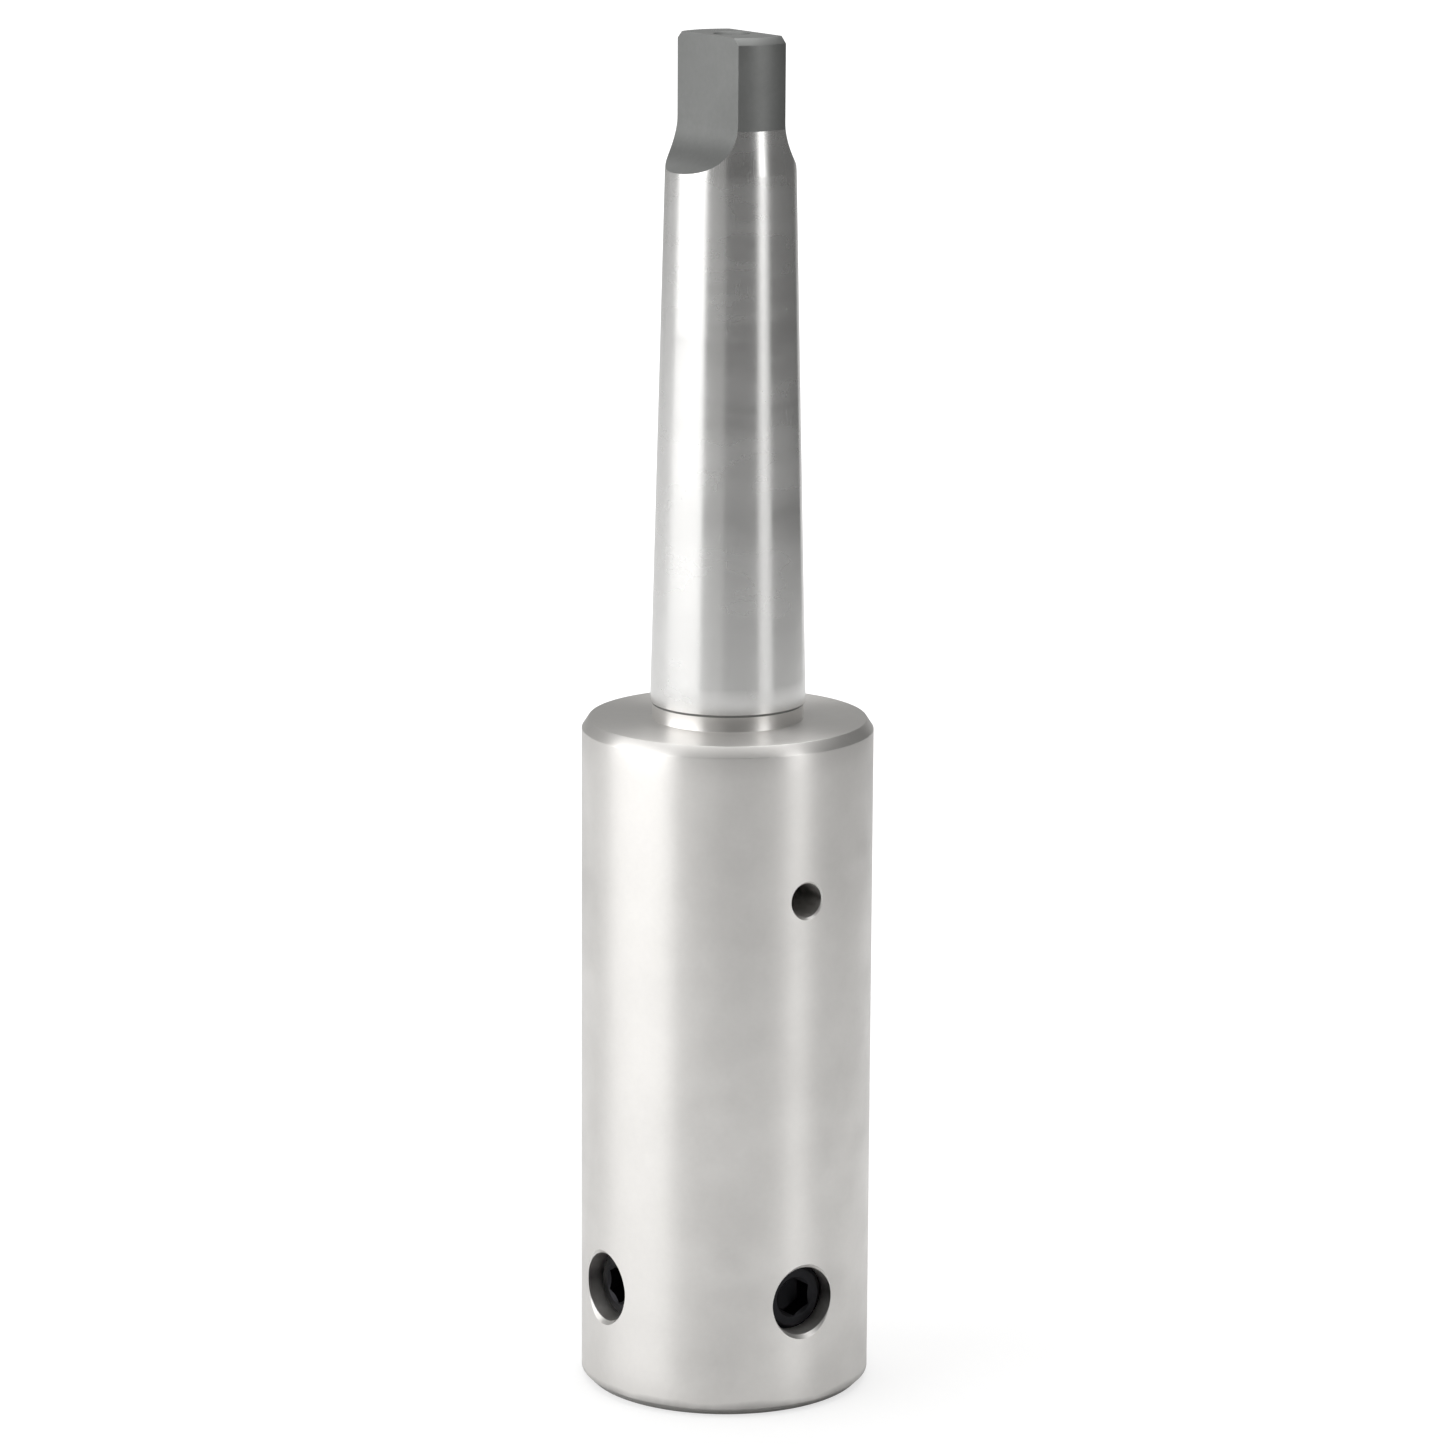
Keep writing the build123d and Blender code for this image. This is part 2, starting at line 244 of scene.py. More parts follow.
def tang_cutter(side):
    """What the milling cutter takes off one side of the tang, with its run-out radius."""
    bm = bmesh.new()
    start = bm.verts.new((tang_half_thickness, 0, flat_foot))
    arc = bmesh.ops.spin(
        bm, geom=[start], cent=(tang_half_thickness + tang_runout, 0, flat_foot), axis=(0, -1, 0),
        angle=math.pi / 2, steps=24,
    )
    end = arc["geom_last"][0]
    far = 2 * tang_runout + tang_half_thickness
    low = bm.verts.new((far, 0, end.co.z))
    high = bm.verts.new((far, 0, shank_end + OVERLAP))
    top = bm.verts.new((tang_half_thickness, 0, shank_end + OVERLAP))
    for pair in ((end, low), (low, high), (high, top), (top, start)):
        bm.edges.new(pair)
    made = bmesh.ops.contextual_create(bm, geom=bm.edges[:])
    bmesh.ops.translate(bm, verts=bm.verts, vec=(0, -2 * tang_radius, 0))
    deep = bmesh.ops.extrude_face_region(bm, geom=made["faces"])
    moved = [v for v in deep["geom"] if isinstance(v, bmesh.types.BMVert)]
    bmesh.ops.translate(bm, verts=moved, vec=(0, 4 * tang_radius, 0))
    bmesh.ops.scale(bm, vec=(side, 1, 1), verts=bm.verts)
    bmesh.ops.recalc_face_normals(bm, faces=bm.faces)
    return bm


carve(
    arbor,
    ("DIFFERENCE", tang_cutter(1)),
    ("DIFFERENCE", tang_cutter(-1)),
    (
        "DIFFERENCE",
        cross_hole(FRONT, screw_height, screw_hole_radius, screw_hole_edge, socket_radius / 2),
    ),
    (
        "DIFFERENCE",
        cross_hole(SIDE, screw_height, screw_hole_radius, screw_hole_edge, socket_radius / 2),
    ),
    (
        "DIFFERENCE",
        cross_hole(FRONT, coolant_height, coolant_radius, coolant_edge, chamber_radius / 2),
    ),
)


QUARTER = 0.25  # of a turn: from round the axis to along it
EDGE_WEAR = 0.22
MICROMETRE = 1e-6


def steel(
    name, colour, roughness, lines=3.0, depth=2.0, anisotropy=0.0, stain=0.06, metal=1.0, painted_foot_shade=0.0, worn=1.15,
):
    """Metal with turned or ground marks, in lines per millimetre along Z and micrometres of depth.

    It also has slow stains, fine scratches, worn edges, and a painted shade that darkens a band at the very
    foot of the piece, standing in for the dark reflection of the contact shadow on the floor there.
    """
    material = bpy.data.materials.new(name)
    material.use_nodes = True
    nodes, links = material.node_tree.nodes, material.node_tree.links
    shader = nodes["Principled BSDF"]
    shader.inputs["Metallic"].default_value = metal
    shader.inputs["Anisotropic"].default_value = anisotropy
    shader.inputs["Anisotropic Rotation"].default_value = QUARTER

    def vector_math(operation, first, second):
        node = nodes.new("ShaderNodeVectorMath")
        node.operation = operation
        links.new(first, node.inputs[0])
        node.inputs[1].default_value = second
        return node.outputs["Value" if operation == "DOT_PRODUCT" else "Vector"]

    def math_node(operation, first, second, clamp=False):
        node = nodes.new("ShaderNodeMath")
        node.operation = operation
        node.use_clamp = clamp
        for socket, value in zip(node.inputs, (first, second)):
            if isinstance(value, (int, float)):
                socket.default_value = value
            else:
                links.new(value, socket)
        return node.outputs[0]

    def noise(vector, scale, detail, along=None):
        node = nodes.new("ShaderNodeTexNoise")
        node.inputs["Scale"].default_value = scale
        node.inputs["Detail"].default_value = detail
        node.inputs["Roughness"].default_value = 0.6
        links.new(vector, node.inputs["Vector"])
        if along is not None:
            node.noise_dimensions = "4D"
            links.new(along, node.inputs["W"])
        return node.outputs["Fac"]

    def ramp(value, low, high, start=0.0, end=1.0):
        node = nodes.new("ShaderNodeMapRange")
        links.new(value, node.inputs["Value"])
        for socket, number in zip(("From Min", "From Max", "To Min", "To Max"), (low, high, start, end)):
            node.inputs[socket].default_value = number
        return node.outputs["Result"]

    # Fields in millimetres: marks across Z, blotches of about 9 mm, mottle under 1 mm, and thin lines.
    coordinates = nodes.new("ShaderNodeTexCoord").outputs["Object"]
    place = vector_math("MULTIPLY", coordinates, (1 / MM, 1 / MM, 1 / MM))
    marks = noise(place, 0.04, 3, vector_math("DOT_PRODUCT", place, (0, 0, lines)))
    clouds = noise(place, 0.11, 4)
    mottle = noise(place, 1.6, 3)
    scratch_field = noise(vector_math("MULTIPLY", place, (1.1, 1.1, 0.1)), 0.55, 2)
    near_line = math_node("ABSOLUTE", math_node("SUBTRACT", scratch_field, 0.5), 0)
    scratches = math_node("MULTIPLY", ramp(near_line, 0, 0.0022, 1, 0), ramp(clouds, 0.5, 0.62), True)

    # Worn edges are where the rounded normal leaves the face's own.
    bevel = nodes.new("ShaderNodeBevel")
    bevel.inputs["Radius"].default_value = EDGE_WEAR * MM
    bevel.samples = 4
    normal = nodes.new("ShaderNodeNewGeometry").outputs["Normal"]
    bend = nodes.new("ShaderNodeVectorMath")
    bend.operation = "DOT_PRODUCT"
    links.new(bevel.outputs[0], bend.inputs[0])
    links.new(normal, bend.inputs[1])
    rounded = ramp(bend.outputs["Value"], 0.9, 0.995, 1, 0)
    edges = math_node("MULTIPLY", rounded, ramp(mottle, 0.35, 0.6), True)

    # Colour.
    shade = math_node(
        "MULTIPLY", ramp(clouds, 0.3, 0.7, 1, 1 - stain), ramp(mottle, 0.3, 0.7, 1, 1 - stain / 3)
    )
    shade = math_node("MULTIPLY", shade, ramp(edges, 0, 1, 1, worn))
    # Painted shade: darkens a band at the very foot of the piece, in place of the dark reflection of the
    # contact shadow on the floor.
    if painted_foot_shade:
        height = vector_math("DOT_PRODUCT", place, (0, 0, 1))
        band = math_node("ADD", height, ramp(clouds, 0.3, 0.7, -0.4, 0.4))
        shade = math_node("MULTIPLY", shade, ramp(band, 0.6, 1.6, 1 - painted_foot_shade, 1))
    tint = nodes.new("ShaderNodeVectorMath")
    tint.operation = "SCALE"
    tint.inputs[0].default_value = colour
    links.new(shade, tint.inputs["Scale"])
    links.new(tint.outputs["Vector"], shader.inputs["Base Color"])

    # Roughness and bump.
    rough = math_node(
        "ADD", ramp(marks, 0.3, 0.7, roughness - 0.04, roughness + 0.04), ramp(clouds, 0.3, 0.7, -0.03, 0.04)
    )
    rough = math_node("ADD", rough, math_node("MULTIPLY", scratches, 0.06), True)
    links.new(rough, shader.inputs["Roughness"])
    if anisotropy:
        tangent = nodes.new("ShaderNodeTangent")
        tangent.direction_type = "RADIAL"
        tangent.axis = "Z"
        links.new(tangent.outputs[0], shader.inputs["Tangent"])
    bump = nodes.new("ShaderNodeBump")
    bump.inputs["Strength"].default_value = 1.0
    bump.inputs["Distance"].default_value = depth * MICROMETRE
    links.new(math_node("SUBTRACT", marks, math_node("MULTIPLY", scratches, 0.12)), bump.inputs["Height"])
    links.new(bump.outputs[0], shader.inputs["Normal"])
    return material


# The turned body gets a painted shade of half strength in its foot band.
turned_steel = steel("turned_steel", (0.78, 0.765, 0.745), 0.4, anisotropy=0.7, painted_foot_shade=0.5)
ground_steel = steel("ground_steel", (0.77, 0.765, 0.755), 0.25, anisotropy=0.5, lines=5, depth=0.8)
# Dark milled finish of the tang, which also paints shade on the upper flank of the relief groove.
milled_steel_and_groove_shade = steel("milled_steel_and_groove_shade", (0.27, 0.275, 0.27), 0.48, lines=1.5, depth=4, stain=0.15)
dress(arbor, [turned_steel, ground_steel, milled_steel_and_groove_shade], "arbor", "arbor_body")
# Faces above the relief groove's floor that are off the ground cone take the dark milled finish. On the tang
# this is its own finish; on the groove's upper flank it is a painted shade for the dark crescent at the foot of
# the taper.
for face in arbor.data.polygons:
    middle = face.center / MM
    reach = math.hypot(middle.x, middle.y)
    if middle.z > relief_top - relief_depth:
        neck_share = max(0, (middle.z - neck_foot) / (tang_foot - neck_foot))
        neck_radius = taper_radius(neck_foot) + neck_share * (tang_radius - taper_radius(neck_foot))
        round_radius = neck_radius if middle.z > neck_foot else taper_radius(middle.z)
        on_cone = abs(reach - round_radius) < 0.02 and middle.z < tang_foot
        face.material_index = 1 if on_cone else 2

# Clamp screws. Two M8 cup point set screws of black oxide steel, cut with a real helical thread and screwed
# through the wall of the socket a quarter turn apart. Each has a hexagon socket outside and a cup inside.
screw_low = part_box("set_screw_side")[0]
screw_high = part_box("set_screw_side")[1]
screw_outer = -screw_low.x / MM
screw_tip = -screw_high.x / MM
screw_length = screw_outer - screw_tip
screw_radius = screw_high.y / MM
screw_pitch = 1.25
thread_depth = 0.7625
crest = 0.16
screw_chamfer = 0.6
cup_radius = 2.5
cup_depth = 1.443
key_radius = 2.0 / math.cos(math.pi / 6)
key_depth = 2.4
key_drill_radius = 0.82 * key_radius
key_drill_point = 0.7
key_lead_in = 0.25
thread_play = 0.02  # keeps the turned shape off the crests of the thread
blank_spare = 0.5
black_oxide = steel("black_oxide", (0.022, 0.022, 0.024), 0.42, worn=2.0)


def thread_blank():
    """Rod with a helical thread, longer than the screw at both ends."""
    bm = bmesh.new()
    root = screw_radius - thread_depth
    half = screw_pitch / 2
    outline = [
        (root, -crest / 2), (root, crest / 2), (screw_radius, half - crest / 2),
        (screw_radius, half + crest / 2), (root, screw_pitch - crest / 2),
    ]
    points = [bm.verts.new((radius, 0, height - 2 * screw_pitch)) for radius, height in outline]
    for start, end in zip(points, points[1:]):
        bm.edges.new((start, end))
    turns, steps = 8, 64
    bmesh.ops.spin(
        bm, geom=bm.verts[:] + bm.edges[:], cent=(0, 0, 0), axis=(0, 0, 1), angle=FULL_TURN * turns,
        steps=turns * steps, dvec=(0, 0, screw_pitch / steps),
    )
    bmesh.ops.remove_doubles(bm, verts=bm.verts, dist=WELD)
    for height, side in ((-blank_spare, -1), (screw_length + blank_spare, 1)):
        cut = bmesh.ops.bisect_plane(
            bm, geom=bm.verts[:] + bm.edges[:] + bm.faces[:], plane_co=(0, 0, height),
            plane_no=(0, 0, side), clear_outer=True,
        )
        rim = [e for e in cut["geom_cut"] if isinstance(e, bmesh.types.BMEdge)]
        bmesh.ops.contextual_create(bm, geom=rim)
    bmesh.ops.recalc_face_normals(bm, faces=bm.faces)
    return bm


def screw_envelope():
    """The turned shape of a clamp screw: chamfered ends and a cup."""
    end_radius = screw_radius - screw_chamfer
    return lathe(
        [
            (0, cup_depth), (cup_radius, 0), (end_radius, 0),
            (screw_radius + thread_play, screw_chamfer + thread_play),
            (screw_radius + thread_play, screw_length - screw_chamfer - thread_play),
            (end_radius, screw_length), (0, screw_length),
        ],
        rounding=0.04,
        steps=128,
    )


def key_socket():
    """Hexagonal socket with a drilled point and a small lead-in cone."""
    bm = lathe(
        [
            (0, -key_depth - key_drill_point), (key_drill_radius, -key_depth), (key_drill_radius, -0.35),
            (key_radius + key_lead_in, 0.1), (0, 0.1),
        ],
        steps=SMALL_ROUND_STEPS,
    )
    bmesh.ops.translate(bm, verts=bm.verts, vec=(0, 0, screw_length))
    return bm


def key_hexagon():
    """The hexagon that the key fits."""
    bm = bmesh.new()
    bmesh.ops.create_cone(
        bm, cap_ends=True, segments=6, radius1=key_radius, radius2=key_radius, depth=2 * key_depth,
    )
    bmesh.ops.translate(bm, verts=bm.verts, vec=(0, 0, screw_length))
    return bm


def clamp_screw(name, outward, body, node):
    """Finished set screw in its hole, facing outward."""
    screw = as_object(thread_blank(), name)
    carve(
        screw, ("INTERSECT", screw_envelope()), ("DIFFERENCE", key_hexagon()), ("DIFFERENCE", key_socket()),
    )
    screw.data.transform(facing(outward, screw_height) @ Matrix.Translation((0, 0, screw_tip)))
    dress(screw, [black_oxide], body, node)


clamp_screw("clamp_screw_front", FRONT, "front_screw", "set_screw_front")
clamp_screw("clamp_screw_side", SIDE, "side_screw", "set_screw_side")

# Retaining ring. Internal circlip stamped from spring steel and phosphated: it narrows towards its gap, ends in
# two drilled lugs for pliers, and sits sprung out in the groove of the valve chamber.
ring_floor = groove_floor
ring_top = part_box("retaining_ring")[1].z / MM
ring_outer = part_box("retaining_ring")[1].x / MM
ring_inner = 6.15
ring_shift = 0.35
lug_radius = 1.7
lug_place = 5.65
lug_angles = (math.radians(69), math.radians(111))
lug_hole = 0.8
lug_neck = 1.5
ring_gap = 0.4
lug_tip = 3.95
phosphated = steel("phosphated", (0.09, 0.09, 0.09), 0.5)


def disc(radius, low, high, centre=(0, 0), steps=ROUND_STEPS):
    """Flat disc between two heights, to join or to cut with."""
    bm = lathe([(0, low), (radius, low), (radius, high), (0, high)], steps=steps)
    bmesh.ops.translate(bm, verts=bm.verts, vec=(*centre, 0))
    return bm


def block(low, high, turn=0.0):
    """Rectangular solid between two corners, turned about Z."""
    bm = bmesh.new()
    bmesh.ops.create_cube(bm, size=1)
    bmesh.ops.scale(bm, vec=Vector(high) - Vector(low), verts=bm.verts)
    bmesh.ops.translate(bm, verts=bm.verts, vec=(Vector(low) + Vector(high)) / 2)
    bmesh.ops.rotate(bm, verts=bm.verts, matrix=Matrix.Rotation(turn, 3, "Z"))
    return bm


SHARP_EDGE = math.radians(40)


def soften(piece, width, segments=2):
    """Rounds every sharp edge of a finished piece by a small width."""
    bm = bmesh.new()
    bm.from_mesh(piece.data)
    edges = [e for e in bm.edges if len(e.link_faces) == 2 and e.calc_face_angle(0) > SHARP_EDGE]
    bmesh.ops.bevel(
        bm, geom=edges, offset=width, offset_type="OFFSET", segments=segments, profile=0.5,
        affect="EDGES", material=-1, clamp_overlap=True,
    )
    bm.to_mesh(piece.data)
    bm.free()


retaining_ring = as_object(disc(ring_outer, ring_floor, ring_top), "circlip")
ring_cuts = [("DIFFERENCE", disc(ring_inner, ring_floor - OVERLAP, ring_top + OVERLAP, (0, ring_shift)))]
for angle in lug_angles:
    centre = (lug_place * math.cos(angle), lug_place * math.sin(angle))
    ring_cuts.append(("UNION", disc(lug_radius, ring_floor, ring_top, centre, steps=96)))
    ring_cuts.append((
        "UNION",
        block((lug_place, -lug_radius, ring_floor), (lug_place + lug_neck, lug_radius, ring_top), angle),
    ))
for angle in lug_angles:
    centre = (lug_place * math.cos(angle), lug_place * math.sin(angle))
    ring_cuts.append(("DIFFERENCE", disc(lug_hole, ring_floor - OVERLAP, ring_top + OVERLAP, centre, steps=64)))
ring_cuts.append((
    "DIFFERENCE",
    block((-ring_gap, lug_tip, ring_floor - OVERLAP), (ring_gap, lug_tip + 6, ring_top + OVERLAP)),
))
carve(retaining_ring, *ring_cuts)
soften(retaining_ring, 0.06)
dress(retaining_ring, [phosphated], "arbor", "retaining_ring")


# Washer. Zinc plated steel ring, turned with rounded edges. It lies on the circlip and carries the rubber seal,
# and the plunger's nose passes through its hole.
disc_hole = 4.2


def ring_piece(name, node, rounding):
    """Turned ring with the height, outer size and hole of a CAD node."""
    low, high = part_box(node)
    outer = high.x / MM
    bm = section(
        [
            (disc_hole, (low.z + high.z) / 2 / MM), (disc_hole, low.z / MM), (outer, low.z / MM),
            (outer, high.z / MM), (disc_hole, high.z / MM), (disc_hole, (low.z + high.z) / 2 / MM),
        ],
        rounding, 3,
    )
    bmesh.ops.spin(
        bm, geom=bm.verts[:] + bm.edges[:], cent=(0, 0, 0), axis=(0, 0, 1), angle=FULL_TURN,
        steps=ROUND_STEPS, use_merge=True,
    )
    bmesh.ops.remove_doubles(bm, verts=bm.verts, dist=WELD)
    bmesh.ops.recalc_face_normals(bm, faces=bm.faces)
    return as_object(bm, name)


zinc = steel("zinc", (0.66, 0.67, 0.68), 0.3)
washer = ring_piece("washer", "seal_washer", 0.2)
dress(washer, [zinc], "arbor", "seal_washer")

# Valve seal. Flat ring punched from black nitrile rubber. It lies loose on the washer, and the plunger's head
# closes on it.
rubber = steel("rubber", (0.025, 0.025, 0.025), 0.6, metal=0.0)
seal = ring_piece("rubber_seal", "valve_seal", 0.12)
dress(seal, [rubber], "arbor", "valve_seal")

# Ejector plunger. Turned bright steel: a nose with a centre for the pilot pin, a head with three milled flutes
# for the coolant, and a spigot inside the spring. It slides in the valve chamber.
plunger_low, plunger_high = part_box("ejector_plunger")
head_floor = 39.75
head_top = 43.75
head_radius = plunger_high.x / MM
nose_radius = 3.5
nose_edge = 0.5
pilot_radius = 2.25
spigot_radius = 4.4
spigot_edge = 0.6
head_edge = 0.3
flute_radius = 1.6
bright_steel = steel("bright_steel", (0.62, 0.61, 0.6), 0.25)
nose_tip = plunger_low.z / MM
spigot_top = plunger_high.z / MM
plunger = as_object(
    lathe(
        [
            (0, nose_tip + pilot_radius), (pilot_radius, nose_tip), (nose_radius - nose_edge, nose_tip),
            (nose_radius, nose_tip + nose_edge), (nose_radius, head_floor),
            (head_radius - head_edge, head_floor), (head_radius, head_floor + head_edge),
            (head_radius, head_top - head_edge), (head_radius - head_edge, head_top),
            (spigot_radius, head_top), (spigot_radius, spigot_top - spigot_edge),
            (spigot_radius - spigot_edge, spigot_top), (0, spigot_top),
        ],
        rounding=0.05,
    ),
    "plunger",
)
carve(
    plunger,
    *[
        (
            "DIFFERENCE",
            disc(
                flute_radius, head_floor - 0.001, head_top + OVERLAP,
                (head_radius * math.cos(angle), head_radius * math.sin(angle)), steps=96,
            ),
        )
        for angle in (0, math.radians(120), math.radians(240))
    ],
)
soften(plunger, 0.04)
dress(plunger, [bright_steel], "plunger", "ejector_plunger")

# Ejector spring. Bright drawn wire of 1.2 mm wound in nine turns, with closed ends ground flat. It stands on
# the plunger's head round the spigot and pushes against the roof of the chamber.
wire_radius = 0.6
coil_radius = 5.4
turns = 9
turn_steps = 72
closed_pitch = 1.7
spring_foot = head_top + 0.3
spring_head = chamber_roof - 0.3
open_pitch = (spring_head - spring_foot - 2 * closed_pitch) / (turns - 2)


def wire_height(turn):
    """Height of the wire's middle: level at both ends, easing into the open turns."""
    foot = min(turn, 1)
    head = max(0, turn - (turns - 1))
    middle = turn - foot - head
    return spring_foot + closed_pitch * (foot**2 + 2 * head - head**2) + open_pitch * middle


def straight_on(rim):
    """Carries the wire straight on by its own thickness from a rim, and returns the new end."""
    end = bmesh.ops.extrude_edge_only(coil, edges=rim)["geom"]
    points = [g for g in end if isinstance(g, bmesh.types.BMVert)]
    bmesh.ops.translate(coil, verts=points, vec=(0, 2 * wire_radius, 0))
    return end


coil = bmesh.new()
bmesh.ops.create_circle(coil, radius=wire_radius, segments=20)
bmesh.ops.rotate(coil, verts=coil.verts, matrix=Matrix.Rotation(math.radians(90), 3, "X"))
bmesh.ops.translate(coil, verts=coil.verts, vec=(coil_radius, -2 * wire_radius, spring_foot))
tail = straight_on(coil.edges[:])
ring = [g for g in tail if isinstance(g, bmesh.types.BMVert) or isinstance(g, bmesh.types.BMEdge)]
ring = [g for g in ring if isinstance(g, bmesh.types.BMVert) or len(g.link_faces) == 1]
for step in range(turns * turn_steps):
    rise = wire_height((step + 1) / turn_steps) - wire_height(step / turn_steps)
    ring = bmesh.ops.spin(
        coil, geom=ring, cent=(0, 0, 0), axis=(0, 0, 1), angle=FULL_TURN / turn_steps, steps=1,
        dvec=(0, 0, rise),
    )["geom_last"]
straight_on([g for g in ring if isinstance(g, bmesh.types.BMEdge)])
bmesh.ops.remove_doubles(coil, verts=coil.verts, dist=WELD)
open_edges = [e for e in coil.edges if len(e.link_faces) == 1]
spring_middle = (head_top + chamber_roof) / 2
bmesh.ops.contextual_create(coil, geom=[e for e in open_edges if e.verts[0].co.z < spring_middle])
bmesh.ops.contextual_create(coil, geom=[e for e in open_edges if e.verts[0].co.z > spring_middle])
for height, way in ((head_top, -1), (chamber_roof, 1)):
    bmesh.ops.bisect_plane(
        coil, geom=coil.verts[:] + coil.edges[:] + coil.faces[:], plane_co=(0, 0, height),
        plane_no=(0, 0, way), clear_outer=True,
    )
    bmesh.ops.contextual_create(coil, geom=[e for e in coil.edges if len(e.link_faces) == 1])
bmesh.ops.recalc_face_normals(coil, faces=coil.faces)
spring = as_object(coil, "spring")
drawn_wire = steel("drawn_wire", (0.5, 0.49, 0.47), 0.28)
dress(spring, [drawn_wire], "plunger", "ejector_spring")
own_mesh(spring)

# Camera.
camera_distance = 0.605
camera_height = 0.2098
camera_aside = -0.0006
camera_azimuth = math.radians(-33)
camera_pitch = math.radians(12.3)
camera_roll = math.radians(0.31)
forward = Vector((-math.sin(camera_azimuth), math.cos(camera_azimuth), 0))
right = Vector((forward.y, -forward.x, 0))
camera_data = bpy.data.cameras.new("camera")
camera_data.lens = 134.53
camera_data.sensor_width = 36
camera = bpy.data.objects.new("camera", camera_data)
bpy.context.scene.collection.objects.link(camera)
camera.location = right * camera_aside - forward * camera_distance + Vector((0, 0, camera_height))
camera.rotation_euler = (math.radians(90) - camera_pitch, 0, camera_azimuth)
camera.rotation_euler = (
    camera.rotation_euler.to_matrix() @ Matrix.Rotation(camera_roll, 3, "Z")
).to_euler()
bpy.context.scene.camera = camera

# Studio. A pale floor, three soft lamps, a grey room that is white for the camera only, and grey cards that
# only show in the metal. Their angles are round the object, from the camera's side towards the right.
camera_side = math.atan2(-forward.y, -forward.x)


def around(angle, distance, height):
    """Point round the object at an angle from the camera's side."""
    way = camera_side + math.radians(angle)
    return Vector((distance * math.cos(way), distance * math.sin(way), height))


def link(obj):
    """Puts an object of the studio in the scene."""
    bpy.context.scene.collection.objects.link(obj)
    return obj


def lamp(name, angle, distance, height, width, tall, power, target=0.08):
    """Soft rectangular lamp that looks at the object."""
    data = bpy.data.lights.new(name, "AREA")
    data.shape = "RECTANGLE"
    data.size, data.size_y = width, tall
    data.energy = power
    made = link(bpy.data.objects.new(name, data))
    made.location = around(angle, distance, height)
    made.rotation_euler = (made.location - Vector((0, 0, target))).to_track_quat("Z", "Y").to_euler()
    return made


def card(name, start, end, distance, low, high, level):
    """Upright curved card between two angles, seen only in reflections."""
    bm = bmesh.new()
    ends = [bm.verts.new(around(start, distance, height)) for height in (low, high)]
    edge = bm.edges.new(ends)
    bmesh.ops.spin(
        bm, geom=[*ends, edge], cent=(0, 0, 0), axis=(0, 0, 1), angle=math.radians(end - start),
        steps=24,
    )
    mesh = bpy.data.meshes.new(name)
    bm.to_mesh(mesh)
    bm.free()
    made = link(bpy.data.objects.new(name, mesh))
    paint = bpy.data.materials.new(name)
    paint.use_nodes = True
    nodes = paint.node_tree.nodes
    nodes.remove(nodes["Principled BSDF"])
    glow = nodes.new("ShaderNodeEmission")
    glow.inputs["Color"].default_value = (level, level, level * 0.985, 1)
    paint.node_tree.links.new(glow.outputs[0], nodes["Material Output"].inputs["Surface"])
    mesh.materials.append(paint)
    for seen in ("camera", "diffuse", "shadow", "transmission", "volume_scatter"):
        setattr(made, f"visible_{seen}", False)
    return made


lamp("key_lamp", -71, 0.85, 0.36, 1.1, 0.6, 4.8)
lamp("fill_lamp", 57, 1.0, 0.45, 0.22, 0.7, 1.4)
lamp("top_lamp", 180, 0.25, 1.2, 1.3, 1.3, 8.5)

card("front_left_card", -42, -8, 0.45, 0.015, 0.5, 0.33)
card("front_card", -8, 46, 0.45, 0.015, 0.5, 0.13)
card("right_card", 69, 150, 0.5, 0, 0.5, 0.15)
card("back_card", 150, 225, 1.0, 0.02, 0.6, 0.35)

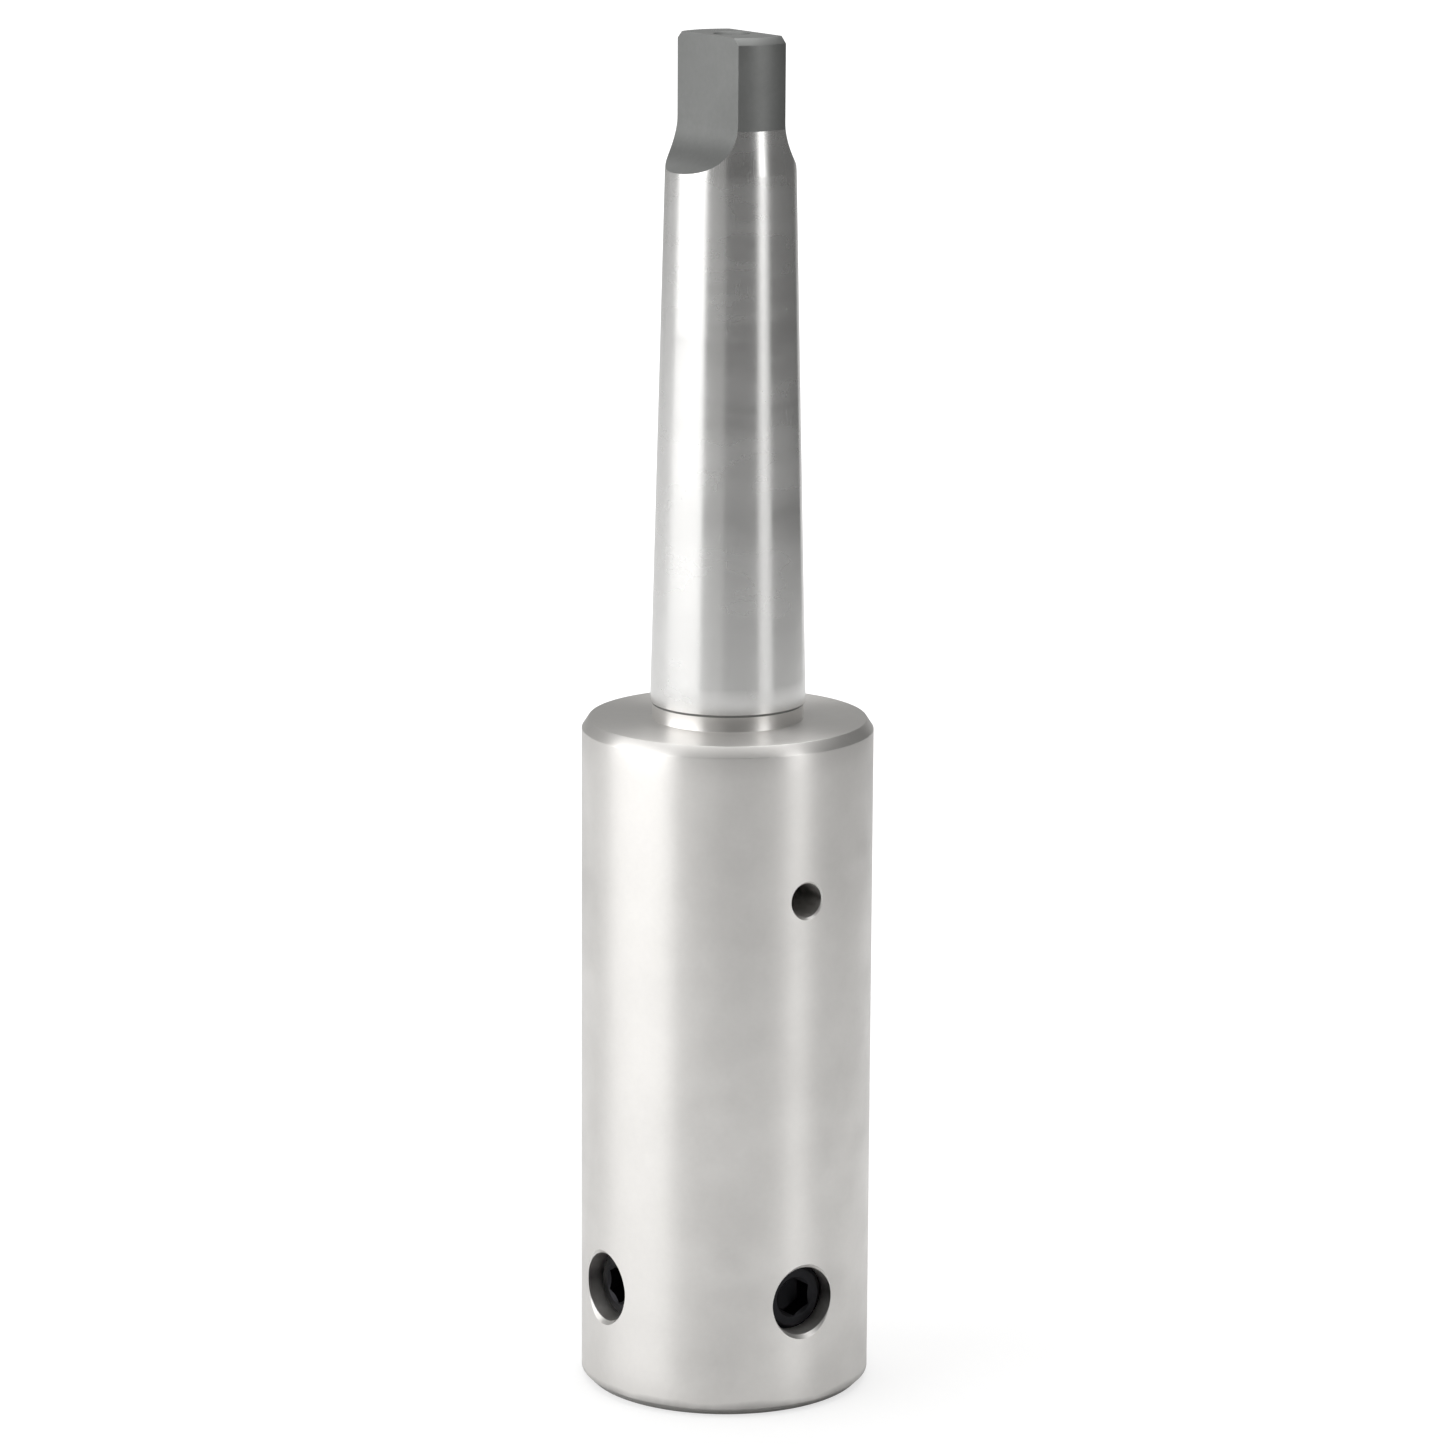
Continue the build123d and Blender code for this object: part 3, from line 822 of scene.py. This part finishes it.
floor_mesh = bmesh.new()
bmesh.ops.create_grid(floor_mesh, x_segments=2, y_segments=2, size=6)
bmesh.ops.translate(floor_mesh, verts=floor_mesh.verts, vec=(0, 0, -0.0001))
floor_data = bpy.data.meshes.new("floor")
floor_mesh.to_mesh(floor_data)
floor_mesh.free()
link(bpy.data.objects.new("floor", floor_data))
floor_paint = bpy.data.materials.new("floor")
floor_paint.use_nodes = True
nodes, links = floor_paint.node_tree.nodes, floor_paint.node_tree.links
nodes.remove(nodes["Principled BSDF"])
matt = nodes.new("ShaderNodeBsdfDiffuse")
matt.inputs["Color"].default_value = (0.9, 0.9, 0.9, 1)
pale = nodes.new("ShaderNodeBsdfDiffuse")
pale.inputs["Color"].default_value = (0.4, 0.4, 0.4, 1)
white = nodes.new("ShaderNodeEmission")
place = nodes.new("ShaderNodeTexCoord")
away = nodes.new("ShaderNodeVectorMath")
away.operation = "LENGTH"
spread = nodes.new("ShaderNodeMapRange")
spread.inputs["From Min"].default_value = 0.05
spread.inputs["From Max"].default_value = 0.5
spread.inputs["To Min"].default_value = 0.66
spread.inputs["To Max"].default_value = 1.0
both = nodes.new("ShaderNodeAddShader")
ray = nodes.new("ShaderNodeLightPath")
choose = nodes.new("ShaderNodeMixShader")
side = nodes.new("ShaderNodeNewGeometry")
clear = nodes.new("ShaderNodeBsdfTransparent")
under = nodes.new("ShaderNodeMixShader")
links.new(place.outputs["Object"], away.inputs[0])
links.new(away.outputs["Value"], spread.inputs["Value"])
links.new(spread.outputs["Result"], white.inputs["Strength"])
links.new(pale.outputs[0], both.inputs[0])
links.new(white.outputs[0], both.inputs[1])
links.new(ray.outputs["Is Camera Ray"], choose.inputs[0])
links.new(matt.outputs[0], choose.inputs[1])
links.new(both.outputs[0], choose.inputs[2])
links.new(side.outputs["Backfacing"], under.inputs[0])
links.new(choose.outputs[0], under.inputs[1])
links.new(clear.outputs[0], under.inputs[2])
links.new(under.outputs[0], nodes["Material Output"].inputs["Surface"])
floor_data.materials.append(floor_paint)

world = bpy.data.worlds.new("studio")
bpy.context.scene.world = world
world.use_nodes = True
nodes, links = world.node_tree.nodes, world.node_tree.links
room = nodes["Background"]
room.inputs["Color"].default_value = (0.4, 0.4, 0.396, 1)
backdrop = nodes.new("ShaderNodeBackground")
backdrop.inputs["Color"].default_value = (1, 1, 1, 1)
ray = nodes.new("ShaderNodeLightPath")
choose = nodes.new("ShaderNodeMixShader")
links.new(ray.outputs["Is Camera Ray"], choose.inputs[0])
links.new(room.outputs[0], choose.inputs[1])
links.new(backdrop.outputs[0], choose.inputs[2])
links.new(choose.outputs[0], nodes["World Output"].inputs["Surface"])
bpy.context.scene.view_settings.view_transform = "Standard"
